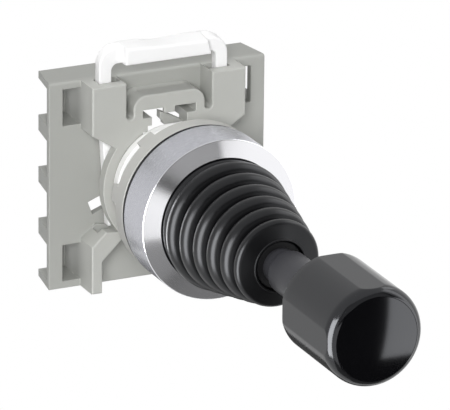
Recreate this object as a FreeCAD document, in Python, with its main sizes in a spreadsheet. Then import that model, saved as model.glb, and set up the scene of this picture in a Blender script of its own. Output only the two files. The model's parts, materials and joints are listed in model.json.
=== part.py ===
import FreeCAD, Part
import math
import os

import Sketcher

# Panel joystick: a chrome bezel and a threaded neck carry a sprung lever in two gimbal axes.
# A moulded holder with a sliding latch sits on the rear of the neck.
# The origin is on the neck's axis, in the plane of the bezel's rear face.
# X points right, Y points back into the panel and Z points up. Millimetres.

sizes = {
    # bezel and gasket
    "bezel_radius": 14.75,
    "bezel_depth": 9.11,
    "bevel_depth": 1.06,
    "rim_rounding": 0.2,
    "rear_chamfer": 0.3,
    "opening_radius": 11.67,
    "lip_thickness": 1.4,
    "bezel_wall": 1.45,
    "gasket_inset": 0.15,
    "gasket_thickness": 0.7,
    # neck
    "neck_radius": 11.0,
    "neck_wall": 1.6,
    "neck_step": 11.2,
    "neck_end": 12.8,
    "flange_thickness": 3.7,
    "seat_gap": 0.05,
    "spigot_step": 2.0,
    "spigot_wall": 1.1,
    "spigot_end": 16.2,
    "lug_inset": 0.55,
    "lug_angle": 28.0,
    "lug_thickness": 1.1,
    "skirt_overlap": 1.0,
    # locking nut
    "nut_inset": 0.3,
    "nut_front_gap": 0.25,
    "nut_thickness": 3.3,
    "nut_lug_height": 1.8,
    "nut_lug_angle": 6.35,
    "nut_lug_width": 2.4,
    "nut_lug_start": 170.0,
    "nut_lug_pitch": 45.0,
    "nut_chamfer": 0.4,
    "thread_clearance": 0.06,
    # holder
    "ring_front": 13.11,
    "ring_thickness": 2.1,
    "ring_clearance": 0.25,
    "ring_width": 2.0,
    "plate_front": 18.38,
    "plate_thickness": 1.5,
    "holder_rear": 25.85,
    "plate_half_width": 20.94,
    "rear_half_width": 19.72,
    "holder_half_height": 19.35,
    "end_rib": 1.3,
    "inner_rib": 2.9,
    "well_wall": 1.4,
    "tower_inner": 8.28,
    "tower_outer": 14.84,
    "tower_bottom": 10.45,
    "tower_meet": 9.9,
    "tower_meet_drop": 1.0,
    "holder_rounding": 0.5,
    "edge_rounding": 0.3,
    "window_outer": 18.3,
    "right_window_drop": 0.5,
    "bay_lip": 0.6,
    "arch_half_width": 6.9,
    "arch_top": 16.7,
    "arch_band": 2.75,
    "arch_window": 5.15,
    "arch_rounding": 2.5,
    "arch_overlap": 0.5,
    "slot_bottom": 12.6,
    "slot_rounding": 0.6,
    "tooth_half_width": 1.0,
    "tooth_drop": 0.95,
    "tooth_depth": 0.8,
    "rail_width": 1.72,
    "rail_bottom": 11.0,
    "rail_height": 1.5,
    "web_bottom": 9.9,
    "finger_reach": 0.92,
    "finger_top": 12.62,
    "finger_shoulder": 11.3,
    "finger_step": 0.75,
    "finger_step_height": 0.8,
    "finger_bottom": 10.1,
    "finger_bend": 0.8,
    "finger_bend_height": 11.85,
    "finger_thickness": 1.4,
    "foot_top": 10.41,
    "foot_inner": 12.85,
    "foot_corner": 13.4,
    "arm_meet_outer": 7.9,
    "arm_meet_inner": 9.9,
    "arm_lead_outer": 2.7,
    "arm_lead_inner": 3.6,
    "hole_clearance": 0.5,
    "hole_half_width": 10.9,
    "hole_half_height": 12.2,
    "hole_corner": 4.0,
    "key_start": 10.3,
    "key_width": 2.6,
    "key_reach": 13.9,
    "key_angle": 21.0,
    # latch
    "latch_inner": 9.94,
    "latch_width": 2.55,
    "latch_front": 15.45,
    "latch_thickness": 2.05,
    "latch_rise": 3.15,
    "grip_height": 3.95,
    "grip_front": 13.7,
    "grip_inset": 1.64,
    "grip_slope": 0.8,
    "dip_depth": 0.45,
    "dip_left": 5.0,
    "dip_middle": 1.7,
    "dip_right": 5.6,
    "hoop_rounding": 3.5,
    "latch_rounding": 0.35,
    "latch_bottom": 9.4,
    "latch_clearance": 0.3,
    "latch_travel": 3.0,
    "relief_clearance": 0.3,
    "elbow_radius": 1.2,
    # boot
    "boot_flange": 1.2,
    "boot_clearance": 0.25,
    "boot_start": 9.96,
    "boot_root": 11.88,
    "boot_tip": 7.12,
    "boot_front": 32.0,
    "boot_folds": 6,
    "fold_pitch": 3.84,
    "fold_depth": 1.6,
    "fold_crest": 0.38,
    "fold_shoulder": 0.68,
    "fold_slope": 0.4,
    "tip_slope": 0.3,
    "boot_wall": 0.9,
    "boot_mouth": 4.6,
    "clamp_thickness": 1.0,
    "clamp_width": 1.95,
    # lever and gimbal
    "pivot_depth": 2.0,
    "tilt_limit": 12.0,
    "gimbal_space": 1.0,
    "gimbal_wall": 3.0,
    "gimbal_half": 1.7,
    "pin_radius": 1.0,
    "pin_fit": 0.04,
    "press_gap": 0.01,
    "pin_seat": 1.0,
    "pin_inset": 0.8,
    "lever_pin_inset": 0.2,
    "hub_radius": 4.4,
    "hub_front": 3.6,
    "hub_rounding": 0.8,
    "rod_radius": 2.5,
    "rod_end": 62.0,
    "rocker_front": 3.75,
    "rocker_radius": 7.4,
    "rocker_thickness": 1.4,
    "rocker_chamfer": 0.6,
    "screw_head_radius": 1.7,
    "screw_head_height": 1.4,
    "screw_core": 1.25,
    "screw_length": 3.8,
    "screw_tip_gap": 0.2,
    "gate_thickness": 1.5,
    "gate_clearance": 0.2,
    "gate_corner": 0.8,
    # shaft sleeve, tip ring and knob
    "sleeve_rear_radius": 3.2,
    "sleeve_front_radius": 3.9,
    "sleeve_rear": 22.0,
    "sleeve_front": 53.6,
    "tip_ring_radius": 4.3,
    "tip_ring_length": 2.6,
    "tip_ring_stand": 0.5,
    "tip_ring_rounding": 0.3,
    "knob_rear": 51.6,
    "knob_rear_radius": 8.82,
    "knob_front_radius": 8.9,
    "knob_widest": 68.35,
    "knob_face": 69.6,
    "knob_face_radius": 8.1,
    "knob_dome": 0.8,
    "knob_rear_chamfer": 0.25,
    "knob_shoulder": 2.6,
    "knob_face_rounding": 0.6,
    "flat_depth": 0.24,
    "flat_count": 4,
    "insert_radius": 3.6,
    "insert_rear": 54.2,
    "insert_front": 63.5,
    "insert_gap": 0.2,
    # plungers
    "plunger_circle": 5.0,
    "plunger_radius": 1.4,
    "plunger_head": 1.9,
    "plunger_head_height": 1.2,
    "plunger_nose": 0.5,
    "plunger_nose_height": 0.65,
    "plunger_gap": 0.45,
    "plunger_rear": 18.6,
    "guide_front": 10.1,
    "guide_end": 15.8,
    "snap_ring_thickness": 0.8,
    "snap_ring_width": 1.2,
    "snap_ring_gap": 1.6,
    "spring_radius": 2.5,
    "spring_wire": 0.32,
    "spring_turns": 5,
    "spring_pocket": 3.2,
    "spring_pocket_depth": 4.0,
    "spring_end_gap": 0.1,
}

doc = FreeCAD.newDocument("Joystick")
sheet = doc.addObject("Spreadsheet::Sheet", "Sizes")
for row, (name, value) in enumerate(sizes.items(), 1):
    sheet.set(f"A{row}", name)
    sheet.set(f"B{row}", str(value))
    sheet.setAlias(f"B{row}", name)
doc.recompute()


class Measure:
    """A size or a sum of sizes: its number now, and the sheet expression that keeps it."""

    def __init__(self, number, text):
        self.number = number
        self.text = text

    def join(self, sign, other, number, swapped=False):
        shown = other.text if isinstance(other, Measure) else repr(float(other))
        first, second = (shown, self.text) if swapped else (self.text, shown)
        return Measure(number, f"({first} {sign} {second})")

    def __add__(self, other):
        return self.join("+", other, self.number + plain(other))

    def __radd__(self, other):
        return self.join("+", other, plain(other) + self.number, True)

    def __sub__(self, other):
        return self.join("-", other, self.number - plain(other))

    def __rsub__(self, other):
        return self.join("-", other, plain(other) - self.number, True)

    def __mul__(self, other):
        return self.join("*", other, self.number * plain(other))

    def __rmul__(self, other):
        return self.join("*", other, plain(other) * self.number, True)

    def __truediv__(self, other):
        return self.join("/", other, self.number / plain(other))

    def __neg__(self):
        return Measure(-self.number, f"(-1 * {self.text})")


def plain(value):
    return value.number if isinstance(value, Measure) else float(value)


def sine(angle):
    return Measure(math.sin(math.radians(plain(angle))), f"sin({angle.text})")


def cosine(angle):
    return Measure(math.cos(math.radians(plain(angle))), f"cos({angle.text})")


def tangent(angle):
    return Measure(math.tan(math.radians(plain(angle))), f"tan({angle.text})")


class Sheet:
    """The sheet's sizes as attributes, such as size.neck_radius."""


size = Sheet()
for name, value in sizes.items():
    setattr(size, name, Measure(value, f"Sizes.{name}"))


# sizes that follow from others
cavityRadius = size.bezel_radius - size.bezel_wall
innerRadius = cavityRadius - size.seat_gap
nutRadius = size.bezel_radius - size.nut_inset
neckBore = size.neck_radius - size.neck_wall
spigotRadius = size.neck_radius - size.spigot_step
spigotBore = spigotRadius - size.spigot_wall
lugRadius = size.neck_radius - size.lug_inset
gimbalRadius = neckBore - size.gimbal_space
gimbalBore = gimbalRadius - size.gimbal_wall
leverBore = size.rod_radius + size.press_gap
ringBore = lugRadius + size.ring_clearance
ringRadius = ringBore + size.ring_width
boardLength = size.plate_front - size.ring_front
windowTop = size.arch_top - size.arch_band
gripBottom = size.holder_half_height + size.latch_rise
gripTop = gripBottom + size.grip_height
gripHalf = size.latch_inner - size.grip_inset
latchOuter = size.latch_inner + size.latch_width
latchRear = size.latch_front + size.latch_thickness
rockerRear = size.pivot_depth + size.rocker_front + size.rocker_thickness


def bind(thing, field, value):
    if isinstance(value, Measure):
        thing.setExpression(field, value.text)


def newBody(label):
    body = doc.addObject("PartDesign::Body", "Body_" + label)
    body.Label = label
    return body


def newSketch(body, name, plane, level=0):
    # level is measured along the plane's own normal, which is -Y for XZ_Plane
    sketch = body.newObject("Sketcher::SketchObject", name)
    support = [feature for feature in body.Origin.OriginFeatures if feature.Role == plane][0]
    sketch.AttachmentSupport = [(support, "")]
    sketch.MapMode = "FlatFace"
    sketch.AttachmentOffset = FreeCAD.Placement(FreeCAD.Vector(0, 0, plain(level)), FreeCAD.Rotation())
    bind(sketch, "AttachmentOffset.Base.z", level)
    return sketch


def fixPoint(sketch, shape, end, corner):
    for kind, value in zip(("DistanceX", "DistanceY"), corner):
        index = sketch.addConstraint(Sketcher.Constraint(kind, -1, 1, shape, end, plain(value)))
        bind(sketch, f"Constraints[{index}]", value)


def drawPolygon(sketch, corners):
    points = [FreeCAD.Vector(plain(across), plain(up), 0) for across, up in corners]
    lines = []
    for index, point in enumerate(points):
        line = Part.LineSegment(point, points[(index + 1) % len(points)])
        lines.append(sketch.addGeometry(line, False))
    for index, line in enumerate(lines):
        sketch.addConstraint(Sketcher.Constraint("Coincident", lines[index - 1], 2, line, 1))
        fixPoint(sketch, line, 1, corners[index])


def drawBox(sketch, left, bottom, right, top):
    drawPolygon(sketch, [(left, bottom), (right, bottom), (right, top), (left, top)])


def drawCircle(sketch, centre, radius):
    spot = FreeCAD.Vector(plain(centre[0]), plain(centre[1]), 0)
    circle = sketch.addGeometry(Part.Circle(spot, FreeCAD.Vector(0, 0, 1), plain(radius)), False)
    fixPoint(sketch, circle, 3, centre)
    index = sketch.addConstraint(Sketcher.Constraint("Radius", circle, plain(radius)))
    bind(sketch, f"Constraints[{index}]", radius)


def addPad(body, sketch, length, backwards=False, middle=False):
    pad = body.newObject("PartDesign::Pad", sketch.Name + "Pad")
    pad.Profile = sketch
    pad.Length = plain(length)
    bind(pad, "Length", length)
    pad.Reversed = backwards
    pad.Midplane = middle
    return finish(body, pad)


def addPocket(body, sketch, length, flip=False, middle=False):
    # cuts against the plane's normal, so backwards from XZ_Plane, unless flipped
    before = body.Shape.Volume
    pocket = body.newObject("PartDesign::Pocket", sketch.Name + "Pocket")
    pocket.Profile = sketch
    pocket.Length = plain(length)
    bind(pocket, "Length", length)
    pocket.Reversed = flip
    pocket.Midplane = middle
    finish(body, pocket)
    if body.Shape.Volume >= before - 1e-6:
        raise RuntimeError(f"{pocket.Name} cuts nothing from {body.Label}")
    return pocket


def addRevolution(body, sketch, axis="V_Axis", cutting=False):
    kind = "PartDesign::Groove" if cutting else "PartDesign::Revolution"
    turned = body.newObject(kind, sketch.Name + "Turn")
    turned.Profile = sketch
    turned.ReferenceAxis = (sketch, [axis])
    turned.Angle = 360
    return finish(body, turned)


def finish(body, feature):
    for sketch in body.Group:
        if sketch.TypeId == "Sketcher::SketchObject":
            sketch.Visibility = False
    doc.recompute()
    body.Tip = feature
    doc.recompute()
    return feature


def turnedBody(label, corners):
    # a piece turned about the neck's axis, from corners given as (radius, depth)
    body = newBody(label)
    sketch = newSketch(body, label + "Profile", "XY_Plane")
    drawPolygon(sketch, corners)
    addRevolution(body, sketch)
    return body


def matchingEdges(shape, chosen):
    return [f"Edge{index}" for index, edge in enumerate(shape.Edges, 1) if chosen(edge)]


def addFillet(body, name, radius, chosen, chamfer=False):
    base = body.Tip
    names = matchingEdges(base.Shape, chosen)
    kind = "PartDesign::Chamfer" if chamfer else "PartDesign::Fillet"
    rounded = body.newObject(kind, name)
    rounded.Base = (base, names)
    if chamfer:
        rounded.Size = plain(radius)
        bind(rounded, "Size", radius)
    else:
        rounded.Radius = plain(radius)
        bind(rounded, "Radius", radius)
    return finish(body, rounded)


def addPattern(body, name, feature, count, turn=360):
    pattern = body.newObject("PartDesign::PolarPattern", name)
    pattern.Originals = [feature]
    axis = [part for part in body.Origin.OriginFeatures if part.Role == "Y_Axis"][0]
    pattern.Axis = (axis, [""])
    pattern.Angle = plain(turn)
    bind(pattern, "Angle", turn)
    pattern.Occurrences = int(plain(count))
    bind(pattern, "Occurrences", count)
    return finish(body, pattern)


def addMirror(body, name, features, plane="YZ_Plane"):
    mirror = body.newObject("PartDesign::Mirrored", name)
    mirror.Originals = features
    support = [part for part in body.Origin.OriginFeatures if part.Role == plane][0]
    mirror.MirrorPlane = (support, [""])
    return finish(body, mirror)


def isCircle(edge, radius, depth):
    curve = edge.Curve
    if curve.TypeId != "Part::GeomCircle":
        return False
    return abs(curve.Radius - radius) < 1e-4 and abs(curve.Center.y - depth) < 1e-4


# Bezel, gasket and clamp


def makeBezel():
    front = -size.bezel_depth
    lip = front + size.lip_thickness
    corners = [
        (size.opening_radius, front),
        (size.bezel_radius, front + size.bevel_depth),
        (size.bezel_radius, 0),
        (cavityRadius, 0),
        (cavityRadius, lip),
        (size.opening_radius, lip),
    ]
    body = turnedBody("bezel", corners)
    rim = plain(front + size.bevel_depth)

    def isRim(edge):
        return isCircle(edge, plain(size.bezel_radius), rim)

    addFillet(body, "BezelRim", size.rim_rounding, isRim)

    def isRearRim(edge):
        return isCircle(edge, plain(size.bezel_radius), 0)

    addFillet(body, "BezelRear", size.rear_chamfer, isRearRim, chamfer=True)


def makeGasket():
    inner = size.neck_radius + size.seat_gap
    outer = size.bezel_radius - size.gasket_inset
    corners = [
        (inner, 0),
        (outer, 0),
        (outer, size.gasket_thickness),
        (inner, size.gasket_thickness),
    ]
    turnedBody("panel_gasket", corners)


def makeClamp():
    front = bootSeat()
    bore = innerRadius - size.clamp_width
    corners = [
        (bore, front),
        (innerRadius, front),
        (innerRadius, front + size.clamp_thickness),
        (bore, front + size.clamp_thickness),
    ]
    turnedBody("bellows_clamp", corners)


def bootSeat():
    # rear face of the boot's flange, which lies against the bezel's lip
    return size.lip_thickness - size.bezel_depth + size.boot_flange


def gateFront():
    return -(size.flange_thickness + size.gate_thickness)


def makeGate():
    front = gateFront()
    rear = -size.flange_thickness
    body = turnedBody("gate_plate", [(0, front), (innerRadius, front), (innerRadius, rear), (0, rear)])
    reach = gateReach()
    sketch = newSketch(body, "GateWindow", "XZ_Plane", -front)
    drawBox(sketch, -reach, -reach, reach, reach)
    addPocket(body, sketch, size.gate_thickness)

    def isCorner(edge):
        middle = edge.CenterOfMass
        upright = abs(edge.tangentAt(edge.FirstParameter).y) > 0.99
        return upright and abs(abs(middle.x) - plain(reach)) < 1e-4

    addFillet(body, "GateCorners", size.gate_corner, isCorner)


def gateReach():
    # half side of the gate's window, where the tilted rod stops
    swing = (size.pivot_depth - gateFront()) * tangent(size.tilt_limit)
    return swing + size.rod_radius / cosine(size.tilt_limit) + size.gate_clearance


# Neck and what it holds


def makeNeck():
    corners = [
        (neckBore, -size.flange_thickness),
        (innerRadius, -size.flange_thickness),
        (innerRadius, 0),
        (size.neck_radius, 0),
        (size.neck_radius, size.neck_end),
        (spigotRadius, size.neck_end),
        (spigotRadius, size.spigot_end),
        (spigotBore, size.spigot_end),
        (spigotBore, size.neck_step),
        (neckBore, size.neck_step),
    ]
    body = turnedBody("neck", corners)
    lugFront = latchRear + size.latch_clearance
    skirtFront = size.spigot_end - size.skirt_overlap
    addNeckLug(body, "FrontLug", lugRadius, size.neck_end, size.ring_front + size.ring_thickness)
    addNeckLug(body, "SideSkirt", spigotRadius, skirtFront, lugFront + size.lug_thickness)
    addNeckLug(body, "RearLug", lugRadius, lugFront, lugFront + size.lug_thickness)
    sketch = newSketch(body, "PinSeats", "YZ_Plane")
    drawCircle(sketch, (size.pivot_depth, 0), size.pin_radius)
    addPocket(body, sketch, 2 * (neckBore + size.pin_seat), middle=True)


def addNeckLug(body, name, outer, front, rear):
    # one wedge each side, under the latch legs
    sketch = newSketch(body, name, "XZ_Plane", -front)
    drawSector(sketch, spigotBore, outer, size.lug_angle)
    pad = addPad(body, sketch, rear - front, backwards=True)
    addMirror(body, name + "Mirror", [pad])


def drawSector(sketch, inner, outer, half):
    # ring sector about the X axis, bounded by two arcs
    low = math.radians(-plain(half))
    high = math.radians(plain(half))
    arcs = []
    for radius in (inner, outer):
        circle = Part.Circle(FreeCAD.Vector(), FreeCAD.Vector(0, 0, 1), plain(radius))
        arc = sketch.addGeometry(Part.ArcOfCircle(circle, low, high), False)
        sketch.addConstraint(Sketcher.Constraint("Coincident", arc, 3, -1, 1))
        index = sketch.addConstraint(Sketcher.Constraint("Radius", arc, plain(radius)))
        bind(sketch, f"Constraints[{index}]", radius)
        for end, side in ((1, -1), (2, 1)):
            height = side * radius * sine(half)
            index = sketch.addConstraint(Sketcher.Constraint("DistanceY", -1, 1, arc, end, plain(height)))
            bind(sketch, f"Constraints[{index}]", height)
        arcs.append(arc)
    for end, angle in ((1, low), (2, high)):
        ray = FreeCAD.Vector(math.cos(angle), math.sin(angle), 0)
        line = sketch.addGeometry(Part.LineSegment(ray * plain(inner), ray * plain(outer)), False)
        sketch.addConstraint(Sketcher.Constraint("Coincident", line, 1, arcs[0], end))
        sketch.addConstraint(Sketcher.Constraint("Coincident", line, 2, arcs[1], end))


def makeNut():
    front = size.gasket_thickness + size.nut_front_gap
    rear = front + size.nut_thickness
    inner = size.neck_radius + size.thread_clearance
    corners = [(inner, front), (nutRadius, front), (nutRadius, rear), (inner, rear)]
    body = turnedBody("locking_nut", corners)

    def isFrontRim(edge):
        return isCircle(edge, plain(nutRadius), plain(front))

    addFillet(body, "NutChamfer", size.nut_chamfer, isFrontRim, chamfer=True)
    sketch = newSketch(body, "NutLug", "XZ_Plane", -rear)
    drawSector(sketch, nutRadius - size.nut_lug_width, nutRadius, size.nut_lug_angle)
    pad = addPad(body, sketch, size.nut_lug_height, backwards=True)
    # two pairs of lugs for the spanner, opposite each other
    addPattern(body, "LugPair", pad, 2, size.nut_lug_pitch)
    addPattern(body, "OppositeLug", pad, 2, 180)
    addPattern(body, "OppositePair", pad, 2, 180 + size.nut_lug_pitch)
    turnAboutAxis(body, size.nut_lug_start)


def turnAboutAxis(body, angle):
    # an angle from +X towards +Z is a negative turn about +Y
    turn = FreeCAD.Rotation(FreeCAD.Vector(0, -1, 0), plain(angle))
    body.Placement = FreeCAD.Placement(FreeCAD.Vector(), turn)
    bind(body, "Placement.Rotation.Angle", angle)


def makeGuide():
    front = size.guide_front
    wide = neckBore - size.seat_gap
    narrow = spigotBore - size.seat_gap
    corners = [
        (0, front),
        (wide, front),
        (wide, size.neck_step),
        (narrow, size.neck_step),
        (narrow, size.guide_end),
        (0, size.guide_end),
    ]
    body = turnedBody("plunger_guide", corners)
    sketch = newSketch(body, "PlungerHole", "XZ_Plane", -front)
    drawCircle(sketch, (size.plunger_circle, 0), size.plunger_radius + size.pin_fit)
    hole = addPocket(body, sketch, size.guide_end - front)
    addPattern(body, "PlungerHoles", hole, 4)
    pocket = newSketch(body, "SpringPocket", "XZ_Plane", -front)
    drawCircle(pocket, (0, 0), size.spring_pocket)
    addPocket(body, pocket, size.spring_pocket_depth)


def makeRetainingRing():
    rear = size.guide_front
    front = rear - size.snap_ring_thickness
    outer = neckBore - size.pin_fit
    inner = outer - size.snap_ring_width
    body = turnedBody("retaining_ring", [(inner, front), (outer, front), (outer, rear), (inner, rear)])
    sketch = newSketch(body, "RingGap", "XZ_Plane", -front)
    half = size.snap_ring_gap / 2
    drawBox(sketch, -half, 0, half, neckBore)
    addPocket(body, sketch, size.snap_ring_thickness)


def makeFixedPin(label, side):
    # pin between the neck's wall and the gimbal ring
    inner = gimbalBore + size.pin_inset
    outer = neckBore + size.pin_seat
    pin = doc.addObject("Part::Cylinder", "Pin_" + label)
    pin.Label = label
    bind(pin, "Radius", size.pin_radius - size.press_gap)
    bind(pin, "Height", outer - inner)
    turn = FreeCAD.Rotation(FreeCAD.Vector(0, side, 0), 90)
    pin.Placement = FreeCAD.Placement(FreeCAD.Vector(side * plain(inner), plain(size.pivot_depth), 0), turn)
    bind(pin, "Placement.Base.x", side * inner)
    bind(pin, "Placement.Base.y", size.pivot_depth)


# Gimbal and lever


def makeGimbal():
    front = size.pivot_depth - size.gimbal_half
    rear = size.pivot_depth + size.gimbal_half
    corners = [(gimbalBore, front), (gimbalRadius, front), (gimbalRadius, rear), (gimbalBore, rear)]
    body = turnedBody("gimbal_ring", corners)
    across = newSketch(body, "FixedPinHole", "YZ_Plane")
    drawCircle(across, (size.pivot_depth, 0), size.pin_radius + size.pin_fit)
    addPocket(body, across, 2 * gimbalRadius, middle=True)
    upright = newSketch(body, "LeverPinHole", "XY_Plane")
    drawCircle(upright, (0, size.pivot_depth), size.pin_radius)
    addPocket(body, upright, 2 * gimbalRadius, middle=True)


def makeLeverPin():
    reach = gimbalRadius - size.lever_pin_inset
    pin = doc.addObject("Part::Cylinder", "Pin_lever")
    pin.Label = "lever_pin"
    bind(pin, "Radius", size.pin_radius - size.press_gap)
    bind(pin, "Height", 2 * reach)
    pin.Placement.Base = FreeCAD.Vector(0, plain(size.pivot_depth), -plain(reach))
    bind(pin, "Placement.Base.y", size.pivot_depth)
    bind(pin, "Placement.Base.z", -reach)


def makeHub():
    front = size.pivot_depth - size.hub_front
    rear = size.pivot_depth + size.rocker_front
    corners = [(leverBore, front), (size.hub_radius, front), (size.hub_radius, rear), (leverBore, rear)]
    body = turnedBody("lever_hub", corners)
    drillLever(body)

    def isFrontRim(edge):
        return isCircle(edge, plain(size.hub_radius), plain(front))

    addFillet(body, "HubNose", size.hub_rounding, isFrontRim)


def drillLever(body):
    sketch = newSketch(body, body.Label + "CrossHole", "XY_Plane")
    drawCircle(sketch, (0, size.pivot_depth), size.pin_radius + size.pin_fit)
    addPocket(body, sketch, 4 * size.hub_radius, middle=True)


def makeRod():
    rear = size.pivot_depth + size.rocker_front
    thread = size.screw_core
    depth = rockerRear - size.screw_length - size.screw_tip_gap
    corners = [
        (0, -size.rod_end),
        (size.rod_radius, -size.rod_end),
        (size.rod_radius, rear),
        (thread, rear),
        (thread, depth),
        (0, depth),
    ]
    body = turnedBody("lever_rod", corners)
    drillLever(body)


def makeRocker():
    front = size.pivot_depth + size.rocker_front
    inner = size.screw_core + size.pin_fit
    outer = size.rocker_radius
    body = turnedBody("rocker_disc", [(inner, front), (outer, front), (outer, rockerRear), (inner, rockerRear)])

    def isRim(edge):
        return isCircle(edge, plain(size.rocker_radius), plain(front))

    addFillet(body, "RockerRim", size.rocker_chamfer, isRim, chamfer=True)


def makeRockerScrew():
    thread = size.screw_core - size.press_gap
    tip = rockerRear - size.screw_length
    top = rockerRear + size.screw_head_height
    corners = [
        (0, tip),
        (thread, tip),
        (thread, rockerRear),
        (size.screw_head_radius, rockerRear),
        (size.screw_head_radius, top),
        (0, top),
    ]
    body = turnedBody("rocker_screw", corners)
    sketch = newSketch(body, "ScrewSocket", "XZ_Plane", -top)
    drawHexagon(sketch, size.screw_core / 2)
    addPocket(body, sketch, size.screw_head_height / 2, flip=True)


def drawHexagon(sketch, radius):
    corners = []
    for index in range(6):
        angle = math.radians(60 * index)
        corners.append((math.cos(angle) * radius, math.sin(angle) * radius))
    drawPolygon(sketch, corners)


def makeSleeve():
    waist = size.boot_front + size.tip_ring_length
    corners = [
        (leverBore, -size.sleeve_front),
        (size.sleeve_front_radius, -size.sleeve_front),
        (size.sleeve_front_radius, -waist - size.sleeve_front_radius),
        (size.sleeve_rear_radius, -waist),
        (size.sleeve_rear_radius, -size.sleeve_rear),
        (leverBore, -size.sleeve_rear),
    ]
    turnedBody("shaft_sleeve", corners)


def makeTipRing():
    front = -(size.boot_front + size.tip_ring_stand)
    rear = front + size.tip_ring_length
    inner = size.sleeve_rear_radius + size.press_gap
    outer = size.tip_ring_radius
    corners = [(inner, front), (outer, front), (outer, rear), (inner, rear)]
    body = turnedBody("tip_ring", corners)

    def isFrontRim(edge):
        return isCircle(edge, plain(size.tip_ring_radius), plain(front))

    addFillet(body, "TipRingNose", size.tip_ring_rounding, isFrontRim)


def makeKnob():
    socket = size.insert_radius + size.press_gap
    sleeve = size.sleeve_front_radius + size.pin_fit
    roof = size.insert_front + size.insert_gap
    chamfer = size.knob_rear_chamfer
    corners = [
        (sleeve, -size.knob_rear),
        (size.knob_rear_radius - chamfer, -size.knob_rear),
        (size.knob_rear_radius, -size.knob_rear - chamfer),
        (size.knob_front_radius, -size.knob_widest),
        (size.knob_face_radius, -size.knob_face),
        (size.knob_face_radius / 2, -size.knob_face - 3 * size.knob_dome / 4),
        (0, -size.knob_face - size.knob_dome),
        (0, -roof),
        (socket, -roof),
        (socket, -size.insert_rear),
        (sleeve, -size.insert_rear),
    ]
    body = turnedBody("knob", corners)

    def isShoulder(edge):
        return isCircle(edge, plain(size.knob_front_radius), -plain(size.knob_widest))

    def isFaceRim(edge):
        return isCircle(edge, plain(size.knob_face_radius), -plain(size.knob_face))

    addFillet(body, "KnobShoulder", size.knob_shoulder, isShoulder)
    addFillet(body, "KnobFaceRim", size.knob_face_rounding, isFaceRim)
    # flats that show the four directions, run out in the rounded shoulder
    flat = newSketch(body, "Flat", "XZ_Plane", size.knob_rear)
    floor = size.knob_front_radius - size.flat_depth
    half = size.knob_front_radius / 2
    drawBox(flat, floor, -half, size.knob_front_radius + size.flat_depth, half)
    cut = addPocket(body, flat, size.knob_face - size.knob_rear, flip=True)
    addPattern(body, "Flats", cut, size.flat_count)


def makeInsert():
    corners = [
        (leverBore, -size.insert_front),
        (size.insert_radius, -size.insert_front),
        (size.insert_radius, -size.insert_rear),
        (leverBore, -size.insert_rear),
    ]
    turnedBody("knob_insert", corners)


# Boot


def makeBoot():
    # outer outline of ridges and valleys from the bezel's opening to the tip, then back inside
    # a collar fills the bezel's opening, and the folds start in front of it
    collar = size.opening_radius - size.boot_clearance
    outer = [(collar, -size.boot_start)]
    taper = (size.boot_root - size.boot_tip) / size.boot_folds
    for fold in range(int(plain(size.boot_folds))):
        depth = -(size.boot_start + size.fold_pitch * fold)
        ridge = size.boot_root - taper * fold
        if fold:
            outer.append((ridge - size.fold_depth, depth))
        outer.append((ridge, depth - size.fold_pitch * size.fold_crest))
        outer.append((ridge - taper * size.fold_slope, depth - size.fold_pitch * size.fold_shoulder))
    front = -size.boot_front
    seat = bootSeat()
    lip = seat - size.boot_flange
    last = size.boot_tip - size.fold_depth * size.tip_slope
    wall = size.fold_depth + size.boot_wall
    corners = [(innerRadius, lip), (outer[0][0], lip)] + outer
    corners += [(last, front), (size.boot_mouth, front), (size.boot_mouth, front + size.boot_wall)]
    corners += [(size.boot_tip - wall, front + size.boot_wall), (collar - wall, seat), (innerRadius, seat)]
    turnedBody("bellows", corners)


# Plungers and spring


def makePlungers():
    front = rockerRear + size.plunger_gap
    neck = front + size.plunger_head_height
    ways = {"plunger_right": 0, "plunger_up": 90, "plunger_left": 180, "plunger_down": 270}
    corners = [
        (0, front),
        (size.plunger_nose, front),
        (size.plunger_head, front + size.plunger_nose_height),
        (size.plunger_head, neck),
        (size.plunger_radius, neck),
        (size.plunger_radius, size.plunger_rear),
        (0, size.plunger_rear),
    ]
    for label, angle in ways.items():
        body = turnedBody(label, corners)
        across = size.plunger_circle * round(math.cos(math.radians(angle)))
        upward = size.plunger_circle * round(math.sin(math.radians(angle)))
        body.Placement.Base = FreeCAD.Vector(plain(across), 0, plain(upward))
        bind(body, "Placement.Base.x", across)
        bind(body, "Placement.Base.z", upward)


def makeSpring():
    # coil between the rocker disc and the floor of the guide's pocket
    front = rockerRear + size.spring_end_gap
    rear = size.guide_front + size.spring_pocket_depth - size.spring_end_gap
    length = plain(rear - front) - 2 * plain(size.spring_wire)
    turns = plain(size.spring_turns)
    radius = plain(size.spring_radius)
    helix = Part.makeHelix(length / turns, length, radius)
    wire = Part.Wire(helix.Edges)
    start = wire.Vertexes[0].Point
    corners = []
    for side in range(7):
        angle = math.radians(60 * side)
        corners.append(start + FreeCAD.Vector(math.cos(angle), 0, math.sin(angle)) * plain(size.spring_wire))
    profile = Part.makePolygon(corners)
    coil = wire.makePipeShell([profile], True, True)
    spring = doc.addObject("Part::Feature", "Coil")
    spring.Label = "return_spring"
    spring.Shape = coil
    turn = FreeCAD.Rotation(FreeCAD.Vector(1, 0, 0), -90)
    spring.Placement = FreeCAD.Placement(FreeCAD.Vector(0, plain(front + size.spring_wire), 0), turn)


# Holder


def bayHeight():
    ribs = 3 * size.inner_rib + 2 * size.end_rib
    return (2 * size.holder_half_height - ribs) / 4


def bayFloors():
    # lower edge of each of the four bays, from the bottom up
    lowest = size.end_rib - size.holder_half_height
    return [bay * (bayHeight() + size.inner_rib) + lowest for bay in range(4)]


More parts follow.
